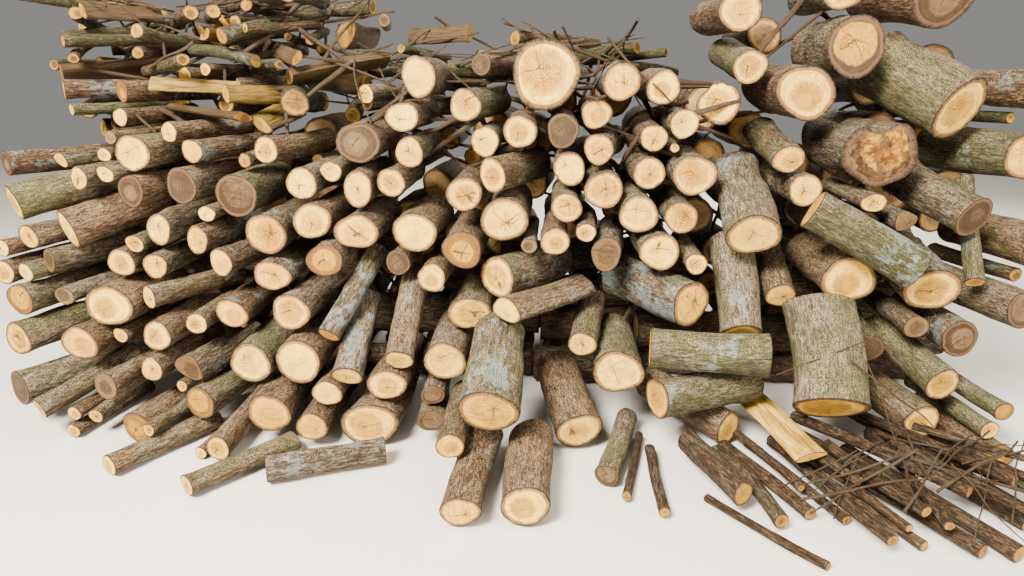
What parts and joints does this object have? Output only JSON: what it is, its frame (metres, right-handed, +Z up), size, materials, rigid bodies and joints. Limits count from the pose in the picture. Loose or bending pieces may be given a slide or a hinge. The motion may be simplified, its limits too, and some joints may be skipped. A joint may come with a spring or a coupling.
{
  "type": "stack of logs",
  "caption": "loose stack of sawn firewood logs with a leaning face of round ends, crosswise logs, thick logs at one side and thin branch wood on top and at the foot",
  "frame": {"origin": "middle of the stack's bounds, at the floor", "axes": "+X along the stack to the right as seen from its face, +Y from the face into the stack, +Z up"},
  "size_m": [3.2588, 1.5428, 1.455],
  "materials": {
    "rear_log": "sawn ends, brown bark",
    "pale_ended_log": "sawn ends, brown bark",
    "branch_wood": "thin brown bark",
    "brown_ended_log": "weathered sawn ends, brown bark",
    "orange_ended_log": "orange sawn ends, brown bark",
    "lichened_log": "sawn ends, grey bark with lichen",
    "grey_ended_log": "greyed sawn ends, brown bark",
    "mossy_log": "sawn ends, bark with moss",
    "split_wood": "split along the grain"
  },
  "bodies": {
    "root": {"back_rank_logs_1": "rear_log", "back_rank_logs_2": "rear_log", "back_rank_logs_3": "rear_log", "back_rank_logs_4": "rear_log", "back_rank_logs_5": "rear_log", "back_rank_logs_6": "rear_log", "back_rank_logs_7": "rear_log", "back_rank_logs_8": "rear_log", "biggest_log": "pale_ended_log", "branch_wood_1": "branch_wood", "branch_wood_2": "branch_wood", "brown_ended_logs_1": "brown_ended_log", "brown_ended_logs_2": "brown_ended_log", "brown_ended_logs_3": "brown_ended_log", "burr_log": "orange_ended_log", "crosswise_logs": "lichened_log", "foot_branches_1": "branch_wood", "foot_branches_2": "branch_wood", "grey_ended_logs": "grey_ended_log", "heart_log": "pale_ended_log", "lichened_logs_1": "lichened_log", "lichened_logs_2": "lichened_log", "logs_between_ranks_1": "rear_log", "logs_between_ranks_2": "rear_log", "mossy_logs_1": "mossy_log", "mossy_logs_2": "mossy_log", "mossy_logs_3": "mossy_log", "mossy_logs_4": "mossy_log", "orange_butt": "orange_ended_log", "orange_ended_logs": "orange_ended_log", "pale_logs_1": "pale_ended_log", "pale_logs_2": "pale_ended_log", "pale_logs_3": "pale_ended_log", "pale_logs_4": "pale_ended_log", "pale_logs_5": "pale_ended_log", "pale_logs_6": "pale_ended_log", "pale_logs_7": "pale_ended_log", "pale_logs_8": "pale_ended_log", "pale_logs_9": "pale_ended_log", "slanted_butt": "mossy_log", "split_plank": "split_wood", "split_wood": "split_wood", "wedge_logs": "branch_wood"}
  },
  "joints": []
}
